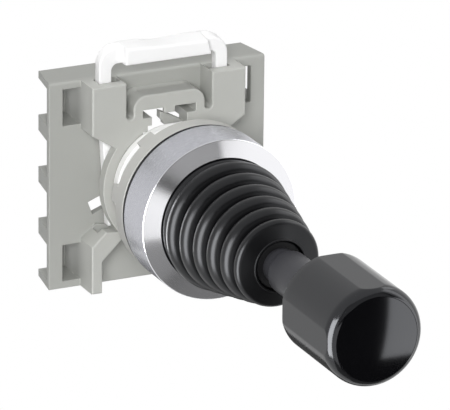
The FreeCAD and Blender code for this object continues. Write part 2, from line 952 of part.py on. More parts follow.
def makeHolder():
    body = newBody("holder")
    comb = newSketch(body, "Comb", "XY_Plane")
    drawPolygon(
        comb,
        [
            (-size.plate_half_width, size.plate_front),
            (size.plate_half_width, size.plate_front),
            (size.rear_half_width, size.holder_rear),
            (-size.rear_half_width, size.holder_rear),
        ],
    )
    addPad(body, comb, 2 * size.holder_half_height, middle=True)

    def isTopFront(edge):
        middle = edge.CenterOfMass
        top = abs(middle.z - plain(size.holder_half_height)) < 1e-3
        return top and abs(middle.y - plain(size.plate_front)) < 1e-3

    addFillet(body, "PlateTop", size.holder_rounding, isTopFront)
    addHolderBays(body)
    addTowers(body)
    addFeet(body)
    addArch(body)
    ring = newSketch(body, "Ring", "XZ_Plane", -size.ring_front)
    drawCircle(ring, (0, 0), ringRadius)
    addPad(body, ring, size.ring_thickness, backwards=True)
    bore = newSketch(body, "RingBore", "XZ_Plane", -size.ring_front)
    drawCircle(bore, (0, 0), ringBore)
    addPocket(body, bore, boardLength)
    cutPlateHole(body)
    cutArchWindow(body)
    roundFrontEdges(body)
    addWindowDetails(body)
    cutLatchSlots(body)


def addHolderBays(body):
    depth = size.holder_rear - size.plate_front - size.plate_thickness
    side = newSketch(body, "SideBays", "XZ_Plane", -size.holder_rear)
    height = bayHeight()
    beyond = size.plate_half_width + size.end_rib
    for floor in bayFloors():
        drawBox(side, size.tower_outer, floor, beyond, floor + height)
        drawBox(side, -beyond, floor, -size.tower_outer, floor + height)
    addPocket(body, side, depth, flip=True)
    well = newSketch(body, "Well", "XZ_Plane", -size.holder_rear)
    across = size.tower_outer - size.well_wall
    up = size.holder_half_height - size.end_rib
    drawBox(well, -across, -up, across, up)
    addPocket(body, well, depth, flip=True)
    window = newSketch(body, "PlateWindows", "XZ_Plane", -size.plate_front)
    floors = bayFloors()
    for floor in (floors[0], floors[3]):
        drop = floor - size.right_window_drop
        drawBox(window, size.tower_outer, drop, size.window_outer, drop + height)
        drawBox(window, -size.window_outer, floor, -size.tower_outer, floor + height)
    addPocket(body, window, size.plate_thickness)
    # lip along the rear edge of the well's side walls
    lip = newSketch(body, "BayLips", "XZ_Plane", -size.holder_rear)
    inner = size.tower_outer - size.bay_lip
    outer = size.tower_outer + size.bay_lip
    up = size.holder_half_height - size.end_rib / 2
    drawBox(lip, inner, -up, outer, up)
    drawBox(lip, -outer, -up, -inner, up)
    addPad(body, lip, size.bay_lip)


def addTowers(body):
    sketch = newSketch(body, "Tower", "XZ_Plane", -size.ring_front)
    drawPolygon(
        sketch,
        [
            (size.tower_inner, size.holder_half_height),
            (size.tower_inner, size.tower_inner),
            (size.tower_meet, size.tower_inner - size.tower_meet_drop),
            (size.tower_outer, size.tower_bottom),
            (size.tower_outer, size.holder_half_height),
        ],
    )
    pad = addPad(body, sketch, boardLength + size.holder_rounding, backwards=True)
    addMirror(body, "TowerMirror", [pad])


def addFeet(body):
    sketch = newSketch(body, "Foot", "XZ_Plane", -size.ring_front)
    drawPolygon(
        sketch,
        [
            (size.tower_outer, -size.holder_half_height),
            (size.tower_outer, -size.foot_top),
            (size.tower_outer - size.arm_lead_outer, -size.arm_meet_outer),
            (size.tower_inner, -size.tower_inner),
            (size.tower_inner, size.tower_meet_drop - size.arm_meet_inner),
            (size.foot_inner - size.arm_lead_inner, -size.arm_meet_inner),
            (size.foot_inner, -size.foot_corner),
            (size.foot_inner, -size.holder_half_height),
        ],
    )
    pad = addPad(body, sketch, boardLength, backwards=True)
    addMirror(body, "FootMirror", [pad])


def addArch(body):
    sketch = newSketch(body, "Arch", "XZ_Plane", -size.ring_front)
    drawBox(sketch, -size.arch_half_width, size.tower_inner, size.arch_half_width, size.arch_top)
    addPad(body, sketch, boardLength, backwards=True)

    def isShoulder(edge):
        middle = edge.CenterOfMass
        along = abs(edge.tangentAt(edge.FirstParameter).y) > 0.99
        high = abs(middle.z - plain(size.arch_top)) < 1e-3
        return along and high and abs(abs(middle.x) - plain(size.arch_half_width)) < 1e-3

    addFillet(body, "ArchShoulders", size.arch_rounding, isShoulder)
    web = newSketch(body, "ArchFoot", "XZ_Plane", -size.ring_front)
    reach = size.tower_inner + size.arch_overlap
    drawBox(web, -reach, size.tower_inner, reach, size.slot_bottom)
    addPad(body, web, boardLength, backwards=True)

    def isSlotCorner(edge):
        middle = edge.CenterOfMass
        along = abs(edge.tangentAt(edge.FirstParameter).y) > 0.99
        inside = plain(size.arch_half_width) - 1e-3 < abs(middle.x) < plain(size.tower_inner) + 1e-3
        return along and inside and abs(middle.z - plain(size.slot_bottom)) < 1e-3

    addFillet(body, "SlotCorners", size.slot_rounding, isSlotCorner)


def cutPlateHole(body):
    # round below, square above, with a key each side
    bore = newSketch(body, "PlateBore", "XZ_Plane", -size.plate_front)
    drawCircle(bore, (0, 0), lugRadius + size.hole_clearance)
    addPocket(body, bore, size.plate_thickness)
    sketch = newSketch(body, "PlateHole", "XZ_Plane", -size.plate_front)
    across = size.hole_half_width
    up = size.hole_half_height
    corner = size.hole_corner
    drawPolygon(
        sketch,
        [
            (across, 0),
            (across, up - corner),
            (across - corner, up),
            (-across + corner, up),
            (-across, up - corner),
            (-across, 0),
        ],
    )
    addPocket(body, sketch, size.plate_thickness)
    keys = newSketch(body, "HoleKeys", "XZ_Plane", -size.plate_front)
    for turn in (-size.key_angle, 180 + size.key_angle):
        drawRadialBox(keys, turn)
    addPocket(body, keys, size.plate_thickness)


def drawRadialBox(sketch, turn):
    half = size.key_width / 2
    inner = size.key_start
    corners = []
    for along, aside in ((inner, -half), (size.key_reach, -half), (size.key_reach, half), (inner, half)):
        across = along * cosine(turn) - aside * sine(turn)
        up = along * sine(turn) + aside * cosine(turn)
        corners.append((across, up))
    drawPolygon(sketch, corners)


def cutArchWindow(body):
    sketch = newSketch(body, "ArchWindow", "XZ_Plane", -size.ring_front)
    drawBox(sketch, -size.arch_window, size.tower_inner, size.arch_window, windowTop)
    addPocket(body, sketch, boardLength + size.plate_thickness)


def roundFrontEdges(body):
    # soft edges all round the front of the towers, the arch and the feet
    front = plain(size.ring_front)
    corner = plain(size.edge_rounding)

    def isFrontEdge(edge):
        flat = all(abs(vertex.Y - front) < 1e-3 for vertex in edge.Vertexes)
        outside = math.hypot(edge.CenterOfMass.x, edge.CenterOfMass.z) > plain(ringRadius) + corner
        return flat and outside and edge.Length > 3 * corner

    addFillet(body, "FrontEdges", size.edge_rounding, isFrontEdge)


def addWindowDetails(body):
    # tooth under the arch, a rail and a web on each wall and a slanted finger
    tooth = newSketch(body, "ArchTooth", "XZ_Plane", -size.ring_front)
    half = size.tooth_half_width
    drawBox(tooth, -half, windowTop - size.tooth_drop, half, windowTop + size.edge_rounding)
    addPad(body, tooth, size.tooth_depth, backwards=True)
    inner = size.arch_window - size.rail_width
    railTop = size.rail_bottom + size.rail_height
    rails = newSketch(body, "WindowRails", "XZ_Plane", -size.ring_front)
    drawBox(rails, inner, size.rail_bottom, size.arch_window, railTop)
    drawBox(rails, -size.arch_window, size.rail_bottom, -inner, railTop)
    addPad(body, rails, boardLength, backwards=True)
    web = newSketch(body, "RailWebs", "XZ_Plane", -size.ring_front)
    drawBox(web, inner, size.web_bottom, size.arch_window, size.rail_bottom)
    drawBox(web, -size.arch_window, size.web_bottom, -inner - size.tooth_depth, size.rail_bottom)
    addPad(body, web, size.ring_thickness, backwards=True)
    finger = newSketch(body, "Finger", "XZ_Plane", -(size.ring_front + size.ring_thickness))
    step = size.finger_step - size.finger_reach
    drawPolygon(
        finger,
        [
            (-size.finger_reach, size.finger_top),
            (-size.finger_reach, size.finger_shoulder),
            (step, size.finger_shoulder - size.finger_step_height),
            (step, size.finger_bottom),
            (size.arch_window, size.finger_bottom),
            (size.arch_window, size.rail_bottom),
            (inner, size.rail_bottom),
            (inner, size.finger_bottom + size.edge_rounding),
            (size.finger_bend, size.finger_bend_height),
        ],
    )
    addPad(body, finger, size.finger_thickness, backwards=True)


def cutLatchSlots(body):
    sketch = newSketch(body, "LatchSlot", "XY_Plane", size.holder_half_height)
    gap = size.latch_clearance
    inner = size.latch_inner - gap
    outer = latchOuter + gap
    front = size.latch_front - gap
    rear = latchRear + gap
    drawBox(sketch, inner, front, outer, rear)
    drawBox(sketch, -outer, front, -inner, rear)
    addPocket(body, sketch, size.holder_half_height + size.latch_bottom + size.latch_travel + 2 * gap)
    # notch that takes the latch's inner elbow when it is pushed down
    notch = newSketch(body, "ElbowNotch", "XY_Plane", size.holder_half_height)
    lead = inner - size.elbow_radius
    drawBox(notch, lead, front, inner, rear)
    drawBox(notch, -inner, front, -lead, rear)
    drop = size.latch_travel - size.latch_rise + size.elbow_radius + gap
    addPocket(body, notch, drop)


# Latch


def makeLatch():
    body = newBody("latch")
    outer = latchOuter
    inner = size.latch_inner
    lower = -size.latch_bottom
    sketch = newSketch(body, "Hoop", "XZ_Plane", -size.latch_front)
    drawPolygon(
        sketch,
        [
            (-outer, lower),
            (-inner, lower),
            (-inner, gripBottom),
            (inner, gripBottom),
            (inner, lower),
            (outer, lower),
            (outer, gripTop),
            (size.dip_right, gripTop),
            (-size.dip_middle, gripTop - size.dip_depth),
            (-size.dip_left, gripTop),
            (-outer, gripTop),
        ],
    )
    addPad(body, sketch, size.latch_thickness, backwards=True)
    bar = newSketch(body, "GripBar", "XZ_Plane", -size.grip_front)
    drawBox(bar, -gripHalf, gripBottom, gripHalf, gripTop - size.dip_depth)
    addPad(body, bar, size.latch_front - size.grip_front + size.latch_thickness / 2, backwards=True)

    def isShoulder(edge):
        middle = edge.CenterOfMass
        along = abs(edge.tangentAt(edge.FirstParameter).y) > 0.99
        return along and abs(middle.z - plain(gripTop)) < 1e-3 and abs(middle.x) > plain(gripHalf)

    addFillet(body, "HoopShoulders", size.hoop_rounding, isShoulder)

    def isElbow(edge):
        middle = edge.CenterOfMass
        along = abs(edge.tangentAt(edge.FirstParameter).y) > 0.99
        low = abs(middle.z - plain(gripBottom)) < 1e-3
        return along and low and abs(abs(middle.x) - plain(inner)) < 1e-3

    addFillet(body, "HoopElbows", size.elbow_radius, isElbow)
    # the top falls towards the front, where the bar's edges are soft
    slope = newSketch(body, "GripSlope", "YZ_Plane")
    drawPolygon(
        slope,
        [(size.grip_front, gripTop - size.grip_slope), (latchRear, gripTop), (size.grip_front, gripTop)],
    )
    addPocket(body, slope, 2 * outer, middle=True)

    def isGripEdge(edge):
        return all(abs(vertex.Y - plain(size.grip_front)) < 1e-3 for vertex in edge.Vertexes)

    addFillet(body, "GripEdges", size.latch_rounding, isGripEdge)
    relief = newSketch(body, "LugRelief", "XZ_Plane", -size.latch_front)
    drawCircle(relief, (0, 0), lugRadius + size.relief_clearance)
    addPocket(body, relief, size.latch_thickness)


makeBezel()
makeGasket()
makeClamp()
makeGate()
makeNeck()
makeNut()
makeGuide()
makeRetainingRing()
makeFixedPin("gimbal_pin_right", 1)
makeFixedPin("gimbal_pin_left", -1)
makeGimbal()
makeLeverPin()
makeHub()
makeRod()
makeRocker()
makeRockerScrew()
makeSleeve()
makeTipRing()
makeKnob()
makeInsert()
makeBoot()
makePlungers()
makeSpring()
makeHolder()
makeLatch()
doc.recompute()

for thing in doc.Objects:
    if "Invalid" in thing.State or "Error" in thing.State:
        raise RuntimeError(f"{thing.Name} failed: {thing.State}")

kinds = ("PartDesign::Body", "Part::Cylinder", "Part::Feature")
pieces = [thing for thing in doc.Objects if thing.TypeId in kinds]
for piece in pieces:
    if piece.Shape.isNull() or not piece.Shape.isValid() or not piece.Shape.Solids:
        raise RuntimeError(f"{piece.Label} has no valid solid")

os.makedirs("parts", exist_ok=True)
for piece in pieces:
    piece.Shape.exportStep(f"parts/{piece.Label}.step")
    print(piece.Label, "solids", len(piece.Shape.Solids), "volume", round(piece.Shape.Volume, 1))
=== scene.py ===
import json
import math

import bpy
from mathutils import Matrix, Vector


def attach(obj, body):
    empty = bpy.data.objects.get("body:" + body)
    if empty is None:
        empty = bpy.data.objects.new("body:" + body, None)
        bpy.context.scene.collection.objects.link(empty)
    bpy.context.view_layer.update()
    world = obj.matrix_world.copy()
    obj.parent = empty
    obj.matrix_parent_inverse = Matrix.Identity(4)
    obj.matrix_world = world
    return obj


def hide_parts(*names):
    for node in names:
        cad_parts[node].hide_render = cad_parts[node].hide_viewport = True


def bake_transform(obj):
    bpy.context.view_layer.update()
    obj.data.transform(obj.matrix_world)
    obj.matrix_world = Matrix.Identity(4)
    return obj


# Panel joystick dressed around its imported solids.
# X points right, Y back into the panel, Z up. Shapes are worked in millimetres and made in metres.

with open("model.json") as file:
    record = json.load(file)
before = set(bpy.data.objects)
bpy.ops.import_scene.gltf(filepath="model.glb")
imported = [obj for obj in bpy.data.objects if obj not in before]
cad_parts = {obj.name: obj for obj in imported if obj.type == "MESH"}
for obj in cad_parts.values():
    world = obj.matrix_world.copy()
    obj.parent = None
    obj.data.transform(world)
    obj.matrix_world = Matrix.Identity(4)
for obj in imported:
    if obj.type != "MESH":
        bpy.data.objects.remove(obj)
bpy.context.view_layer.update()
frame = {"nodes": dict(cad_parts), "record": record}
nodes = frame["nodes"]
mm = 0.001


print("frame loaded:", len(nodes), "solids")


# Meshes

def makeObject(name, points, faces, sharpAngle=40):
    mesh = bpy.data.meshes.new(name)
    mesh.from_pydata([Vector(point) * mm for point in points], [], faces)
    mesh.validate()
    mesh.polygons.foreach_set("use_smooth", [True] * len(mesh.polygons))
    mesh.set_sharp_from_angle(angle=math.radians(sharpAngle))
    piece = bpy.data.objects.new(name, mesh)
    bpy.context.scene.collection.objects.link(piece)
    return piece


def ringPoint(radius, depth, turn):
    return (radius * math.cos(turn), depth, radius * math.sin(turn))


def ringFaces(rows, around):
    # quads between rows of points that each run once round
    faces = []
    for row in range(rows - 1):
        for step in range(around):
            beside = (step + 1) % around
            faces.append((row * around + step, row * around + beside,
                          (row + 1) * around + beside, (row + 1) * around + step))
    return faces


def closedFaces(rows, around):
    # the same, with a face over the first and the last row
    last = (rows - 1) * around
    return ringFaces(rows, around) + [
        tuple(range(around))[::-1],
        tuple(last + step for step in range(around)),
    ]


def latheObject(name, profile, segments, radiusAt=None):
    # turned about Y from (radius, depth) pairs; radiusAt may change a radius with the angle
    points = []
    for radius, depth in profile:
        for step in range(segments):
            turn = 2 * math.pi * step / segments
            wanted = radiusAt(radius, depth, turn) if radiusAt else radius
            points.append(ringPoint(wanted, depth, turn))
    return makeObject(name, points, ringFaces(len(profile), segments))


# Materials: noise scales are counts per metre, and heights and radii are metres

surface = {
    "noiseLow": 0.3,
    "noiseHigh": 0.7,
    "cornerSamples": 6,
    "edgeLightenStart": 0.995,
    "edgeLightenFull": 0.86,
    "changeLength": 0.0001,
    "plainGlint": (1, 1, 1),
}

moulded = {
    "specular": 0.4,
    "clouds": 160,
    "grain": 6000,
    "grainDetail": 3,
    "smoother": 0.05,
    "rougher": 0.06,
    "reliefHeight": 0.00004,
}

turned = {
    "clouds": 220,
    "darker": 0.985,
    "lighter": 1.015,
    "marks": 900,
    "marksDetail": 2,
    "marksStretch": (1, 14, 1),
    "spread": 0.035,
    "reliefHeight": 0.00002,
}

rubber = {
    "clouds": 300,
    "darker": 0.85,
    "lighter": 1.2,
    "grain": 5000,
    "grainDetail": 3,
    "smoother": 0.008,
    "rougher": 0.01,
    "reliefHeight": 0.00003,
}


def newMaterial(name, colour, metallic=0.0, roughness=0.5, specular=0.5):
    material = bpy.data.materials.new(name)
    material.use_nodes = True
    shader = material.node_tree.nodes["Principled BSDF"]
    shader.inputs["Base Color"].default_value = (*colour, 1)
    shader.inputs["Metallic"].default_value = metallic
    shader.inputs["Roughness"].default_value = roughness
    shader.inputs["Specular IOR Level"].default_value = specular
    return material, shader


def addNoise(material, scale, detail=4.0, stretch=(1, 1, 1)):
    tree = material.node_tree
    place = tree.nodes.new("ShaderNodeTexCoord")
    mapping = tree.nodes.new("ShaderNodeMapping")
    mapping.inputs["Scale"].default_value = stretch
    grain = tree.nodes.new("ShaderNodeTexNoise")
    grain.inputs["Scale"].default_value = scale
    grain.inputs["Detail"].default_value = detail
    tree.links.new(place.outputs["Object"], mapping.inputs["Vector"])
    tree.links.new(mapping.outputs["Vector"], grain.inputs["Vector"])
    return grain


def varyColour(material, shader, grain, first, second):
    tree = material.node_tree
    ramp = tree.nodes.new("ShaderNodeValToRGB")
    ramp.color_ramp.elements[0].position = surface["noiseLow"]
    ramp.color_ramp.elements[1].position = surface["noiseHigh"]
    ramp.color_ramp.elements[0].color = (*first, 1)
    ramp.color_ramp.elements[1].color = (*second, 1)
    tree.links.new(grain.outputs["Fac"], ramp.inputs["Fac"])
    tree.links.new(ramp.outputs["Color"], shader.inputs["Base Color"])


def varyRoughness(material, shader, grain, low, high):
    tree = material.node_tree
    spread = tree.nodes.new("ShaderNodeMapRange")
    spread.inputs["From Min"].default_value = surface["noiseLow"]
    spread.inputs["From Max"].default_value = surface["noiseHigh"]
    spread.inputs["To Min"].default_value = low
    spread.inputs["To Max"].default_value = high
    tree.links.new(grain.outputs["Fac"], spread.inputs["Value"])
    tree.links.new(spread.outputs["Result"], shader.inputs["Roughness"])


def roundedNormal(material, radius):
    bevel = material.node_tree.nodes.new("ShaderNodeBevel")
    bevel.samples = surface["cornerSamples"]
    bevel.inputs["Radius"].default_value = radius
    return bevel.outputs["Normal"]


def addRelief(material, shader, grain, strength, height, edge=0.0):
    # fine moulded or machined relief, over edges rounded by the given radius
    tree = material.node_tree
    bump = tree.nodes.new("ShaderNodeBump")
    bump.inputs["Strength"].default_value = strength
    bump.inputs["Distance"].default_value = height
    tree.links.new(grain.outputs["Fac"], bump.inputs["Height"])
    if edge:
        tree.links.new(roundedNormal(material, edge), bump.inputs["Normal"])
    tree.links.new(bump.outputs["Normal"], shader.inputs["Normal"])


def lightenWornHighlitEdges(material, shader, radius, colour):
    # corners are lightened, partly as rubbed wear and partly as a painted highlight along the
    # edges: there the rounded normal turns away from the face's own
    tree = material.node_tree
    rounded = roundedNormal(material, radius)
    face = tree.nodes.new("ShaderNodeNewGeometry")
    match = tree.nodes.new("ShaderNodeVectorMath")
    match.operation = "DOT_PRODUCT"
    spread = tree.nodes.new("ShaderNodeMapRange")
    spread.inputs["From Min"].default_value = surface["edgeLightenStart"]
    spread.inputs["From Max"].default_value = surface["edgeLightenFull"]
    tree.links.new(rounded, match.inputs[0])
    tree.links.new(face.outputs["Normal"], match.inputs[1])
    tree.links.new(match.outputs["Value"], spread.inputs["Value"])
    changeAlong(material, shader.inputs["Base Color"], spread.outputs["Result"], (*colour, 1))


def alongAxis(material, first, last):
    # 0 at depth first and 1 at depth last
    tree = material.node_tree
    place = tree.nodes.new("ShaderNodeTexCoord")
    parts = tree.nodes.new("ShaderNodeSeparateXYZ")
    spread = tree.nodes.new("ShaderNodeMapRange")
    spread.inputs["From Min"].default_value = first
    spread.inputs["From Max"].default_value = last
    tree.links.new(place.outputs["Object"], parts.inputs["Vector"])
    tree.links.new(parts.outputs["Y"], spread.inputs["Value"])
    return spread.outputs["Result"]


def changeAlong(material, socket, mask, other):
    # keeps what the socket has where the mask is 0 and brings in the other value where it is 1
    tree = material.node_tree
    mix = tree.nodes.new("ShaderNodeMix")
    mix.data_type = "RGBA" if socket.type == "RGBA" else "FLOAT"
    # where the node keeps its sockets for a colour and for a number
    first, second, result = (6, 7, 2) if mix.data_type == "RGBA" else (2, 3, 0)
    tree.links.new(socket.links[0].from_socket, mix.inputs[first])
    mix.inputs[second].default_value = other
    tree.links.new(mask, mix.inputs[0])
    tree.links.new(mix.outputs[result], socket)


def shade(colour, factor):
    return tuple(min(1.0, channel * factor) for channel in colour)


def tintGloss(shader, look):
    tint = look.get("glint", surface["plainGlint"])
    shader.inputs["Specular Tint"].default_value = (*tint, 1)


def mouldedPlastic(name, look):
    colour, roughness, spread = look["colour"], look["roughness"], look["spread"]
    specular = look.get("specular", moulded["specular"])
    material, shader = newMaterial(name, colour, roughness=roughness, specular=specular)
    tintGloss(shader, look)
    clouds = addNoise(material, moulded["clouds"])
    varyColour(material, shader, clouds, shade(colour, 1 - spread), shade(colour, 1 + spread))
    grain = addNoise(material, look.get("grainScale", moulded["grain"]), moulded["grainDetail"])
    smooth, rough = roughness - moulded["smoother"], roughness + moulded["rougher"]
    varyRoughness(material, shader, grain, smooth, rough)
    height = moulded["reliefHeight"]
    addRelief(material, shader, grain, look["relief"], height, look.get("edge", 0))
    # lighter edges: partly wear, partly a painted highlight
    if "edgeWearAndHighlight" in look:
        lightenWornHighlitEdges(material, shader, look["edge"], look["edgeWearAndHighlight"])
    return material


def turnedMetal(name, look):
    # grooves of the last cut run round the Y axis
    colour, roughness = look["colour"], look["roughness"]
    material, shader = newMaterial(name, colour, metallic=1, roughness=roughness)
    clouds = addNoise(material, turned["clouds"])
    dark, light = shade(colour, turned["darker"]), shade(colour, turned["lighter"])
    varyColour(material, shader, clouds, dark, light)
    marks = addNoise(material, turned["marks"], turned["marksDetail"], turned["marksStretch"])
    spread = look.get("spread", turned["spread"])
    varyRoughness(material, shader, marks, roughness - spread, roughness + spread)
    height = turned["reliefHeight"]
    addRelief(material, shader, marks, look["relief"], height, look.get("edge", 0))
    return material


def softRubber(name, look):
    colour, roughness = look["colour"], look["roughness"]
    specular = look["specular"]
    material, shader = newMaterial(name, colour, roughness=roughness, specular=specular)
    tintGloss(shader, look)
    clouds = addNoise(material, rubber["clouds"])
    dark, light = shade(colour, rubber["darker"]), shade(colour, rubber["lighter"])
    varyColour(material, shader, clouds, dark, light)
    grain = addNoise(material, rubber["grain"], rubber["grainDetail"])
    smooth, rough = roughness - rubber["smoother"], roughness + rubber["rougher"]
    varyRoughness(material, shader, grain, smooth, rough)
    addRelief(material, shader, grain, look["relief"], rubber["reliefHeight"])
    return material


def bezelMetal(look):
    # satin side, and a brighter finely turned bevel in front
    material = turnedMetal("bezelChrome", look)
    shader = material.node_tree.nodes["Principled BSDF"]
    start = look["bevelStart"]
    bevel = alongAxis(material, start + surface["changeLength"], start)
    changeAlong(material, shader.inputs["Base Color"], bevel, (*look["bevelColour"], 1))
    changeAlong(material, shader.inputs["Roughness"], bevel, look["bevelRoughness"])
    # the last cut's grooves run round the axis and spread highlights across them
    around = material.node_tree.nodes.new("ShaderNodeTangent")
    around.direction_type = "RADIAL"
    around.axis = "Y"
    material.node_tree.links.new(around.outputs["Tangent"], shader.inputs["Tangent"])
    shader.inputs["Anisotropic"].default_value = look["anisotropy"]
    shader.inputs["Anisotropic Rotation"].default_value = look["anisotropyTurn"]
    return material


def knobPlastic(look):
    # satin drum with a polished cap
    material = mouldedPlastic("knobPlastic", look)
    shader = material.node_tree.nodes["Principled BSDF"]
    start = look["capStart"]
    cap = alongAxis(material, start + surface["changeLength"], start)
    changeAlong(material, shader.inputs["Roughness"], cap, look["capRoughness"])
    return material


def holderPlastic(look):
    # painted shade: the faces further back are darkened, as if shadowed by the towers and the ring
    # in front of them
    material = mouldedPlastic("holderPlastic", look)
    shader = material.node_tree.nodes["Principled BSDF"]
    back = alongAxis(material, *look["paintedShadeDepths"])
    changeAlong(material, shader.inputs["Base Color"], back, (*look["paintedShadeColour"], 1))
    return material


finishes = {
    "bezel_chrome": bezelMetal({
        "colour": (0.58, 0.585, 0.63), "roughness": 0.27, "spread": 0.008,
        "relief": 0.003, "edge": 0.00012, "bevelColour": (0.9, 0.9, 0.925),
        "bevelRoughness": 0.19, "bevelStart": -0.00805,
        "anisotropy": 0.5, "anisotropyTurn": 0.25}),
    "gasket_rubber": softRubber("gasketRubber", {
        "colour": (0.008, 0.008, 0.009), "roughness": 0.6, "specular": 0.3, "relief": 0.2}),
    "white_plastic": mouldedPlastic("neckPlastic", {
        "colour": (0.9, 0.9, 0.89), "roughness": 0.45, "spread": 0.012,
        "relief": 0.12, "edge": 0.00015}),
    "grey_plastic": mouldedPlastic("nutPlastic", {
        "colour": (0.48, 0.48, 0.46), "roughness": 0.48, "spread": 0.03,
        "relief": 0.2, "edge": 0.0002, "edgeWearAndHighlight": (0.58, 0.58, 0.56)}),
    "guide_plastic": mouldedPlastic("guidePlastic", {
        "colour": (0.05, 0.05, 0.052), "roughness": 0.45, "spread": 0.05,
        "relief": 0.2, "edge": 0.0001}),
    "pin_steel": turnedMetal("pinSteel", {
        "colour": (0.6, 0.6, 0.62), "roughness": 0.25, "relief": 0.1}),
    "spring_steel": turnedMetal("springSteel", {
        "colour": (0.45, 0.45, 0.47), "roughness": 0.32, "relief": 0.1}),
    "gimbal_brass": turnedMetal("gimbalBrass", {
        "colour": (0.72, 0.52, 0.22), "roughness": 0.3, "relief": 0.12}),
    "shaft_plastic": mouldedPlastic("shaftPlastic", {
        "colour": (0.036, 0.036, 0.041), "roughness": 0.34, "spread": 0.06, "relief": 0.1,
        "glint": (0.94, 0.96, 1.0)}),
    "tip_rubber": softRubber("tipRubber", {
        "colour": (0.006, 0.006, 0.0065), "roughness": 0.55, "specular": 0.25, "relief": 0.2}),
    "knob_plastic": knobPlastic({
        "colour": (0.0024, 0.0024, 0.003), "roughness": 0.14, "specular": 0.62,
        "spread": 0.1, "relief": 0.006, "glint": (0.93, 0.95, 1.0), "grainScale": 4500,
        "capStart": -0.0698, "capRoughness": 0.1}),
    "boot_rubber": softRubber("bootRubber", {
        "colour": (0.0025, 0.0025, 0.0028), "roughness": 0.3, "specular": 0.42, "relief": 0.002,
        "glint": (0.94, 0.955, 1.0)}),
    "plunger_plastic": mouldedPlastic("plungerPlastic", {
        "colour": (0.75, 0.72, 0.62), "roughness": 0.4, "spread": 0.03, "relief": 0.15}),
    # the holder's darker colour towards the back is painted shade
    "holder_plastic": holderPlastic({
        "colour": (0.46, 0.465, 0.44), "roughness": 0.5, "spread": 0.02,
        "relief": 0.25, "edge": 0.0003, "edgeWearAndHighlight": (0.6, 0.605, 0.575),
        "paintedShadeDepths": (0.0155, 0.0198), "paintedShadeColour": (0.35, 0.355, 0.335)}),
    "latch_plastic": mouldedPlastic("latchPlastic", {
        "colour": (0.93, 0.93, 0.93), "roughness": 0.38, "spread": 0.008,
        "relief": 0.1, "edge": 0.0003, "edgeWearAndHighlight": (0.96, 0.96, 0.96)}),
}

slots = {part["node"]: part["material_slot"] for part in frame["record"]["subparts"]}
for name, node in nodes.items():
    node.data.materials.clear()
    node.data.materials.append(finishes[slots[name]])
print("finishes on", len(slots), "solids")


def dress(piece, slot):
    piece.data.materials.append(finishes[slot])


# Boot: half-round folds with narrow grooves, in two lengths that meet at a groove

boot = {
    "flangeRadius": 13.2,
    "seat": -7.75,
    "collarRadius": 11.42,
    "collarEnd": -9.7,
    "crestRadius": 11.88,
    "crestDepth": -11.88,
    "pitch": 3.846,
    "taper": 0.794,
    "folds": 6,
    "foldRounding": 1.8,
    "rootDepth": 1.75,
    "endRounding": 1.0,
    "front": -32.1,
    "rimDepth": -32.62,
    "rimRadius": 4.68,
    "rimWidth": 0.24,
    "mouthRadius": 4.45,
    "mouthDepth": 2.2,
    "rimShape": ((1, 0), (0.6, 0.9), (-0.2, 1)),
    "mouthEdge": 0.4,
    "collarSteps": 8,
    "joinShare": 0.8,
    "endTurn": (5, 75),
    "endSteps": 10,
    "justAhead": 1e-6,
    "rows": 22,
    "segments": 160,
    "splitFold": 1,
}


def crestOf(fold):
    return boot["crestRadius"] - boot["taper"] * fold, boot["crestDepth"] - boot["pitch"] * fold


def foldRadius(depth):
    # the bead of the nearest fold, down to the groove's root
    fold = max(0, round((boot["crestDepth"] - depth) / boot["pitch"]))
    crest, middle = crestOf(fold)
    aside = abs(depth - middle)
    rounding = boot["foldRounding"]
    if aside >= rounding:
        return crest - boot["rootDepth"]
    bead = crest - rounding + math.sqrt(rounding ** 2 - aside ** 2)
    return max(bead, crest - boot["rootDepth"])


def foldRows(first, last):
    # rows crowd towards the grooves, where the outline turns fastest
    rows = []
    for fold in range(first, last):
        middle = crestOf(fold)[1]
        for step in range(boot["rows"]):
            turn = math.pi * step / boot["rows"]
            depth = middle + boot["pitch"] / 2 * math.cos(turn)
            rows.append((foldRadius(depth - boot["justAhead"]), depth))
    return rows


def collarRows():
    # the collar fills the bezel's opening and runs up into the first fold
    middle = crestOf(0)[1]
    wide, seat, end = boot["collarRadius"], boot["seat"], boot["collarEnd"]
    rows = [(boot["flangeRadius"], seat), (wide, seat), (wide, end)]
    join = middle + boot["foldRounding"] * boot["joinShare"]
    low = foldRadius(join)
    for step in range(1, boot["collarSteps"]):
        share = step / boot["collarSteps"]
        rows.append((wide + (low - wide) * math.sin(share * math.pi / 2),
                     end + (join - end) * share))
    for row in foldRows(0, 1):
        if row[1] < join:
            rows.append(row)
    return rows


def bootEnd():
    # the last fold turns over into a flat face with a thin rim round its mouth
    crest = crestOf(boot["folds"] - 1)[0]
    front, rounding = boot["front"], boot["endRounding"]
    start, end = boot["endTurn"]
    rows = []
    for step in range(boot["endSteps"] + 1):
        turn = math.radians(start + (end - start) * step / boot["endSteps"])
        rows.append((crest - rounding + rounding * math.cos(turn),
                     front + rounding - rounding * math.sin(turn)))
    rim, width, base = boot["rimRadius"], boot["rimWidth"], boot["rimDepth"]
    mouth = boot["mouthRadius"]
    rows += [(rim + width * out, base - width * ahead) for out, ahead in boot["rimShape"]]
    rows += [(mouth, base + width * boot["mouthEdge"]), (mouth, front + boot["mouthDepth"])]
    return rows


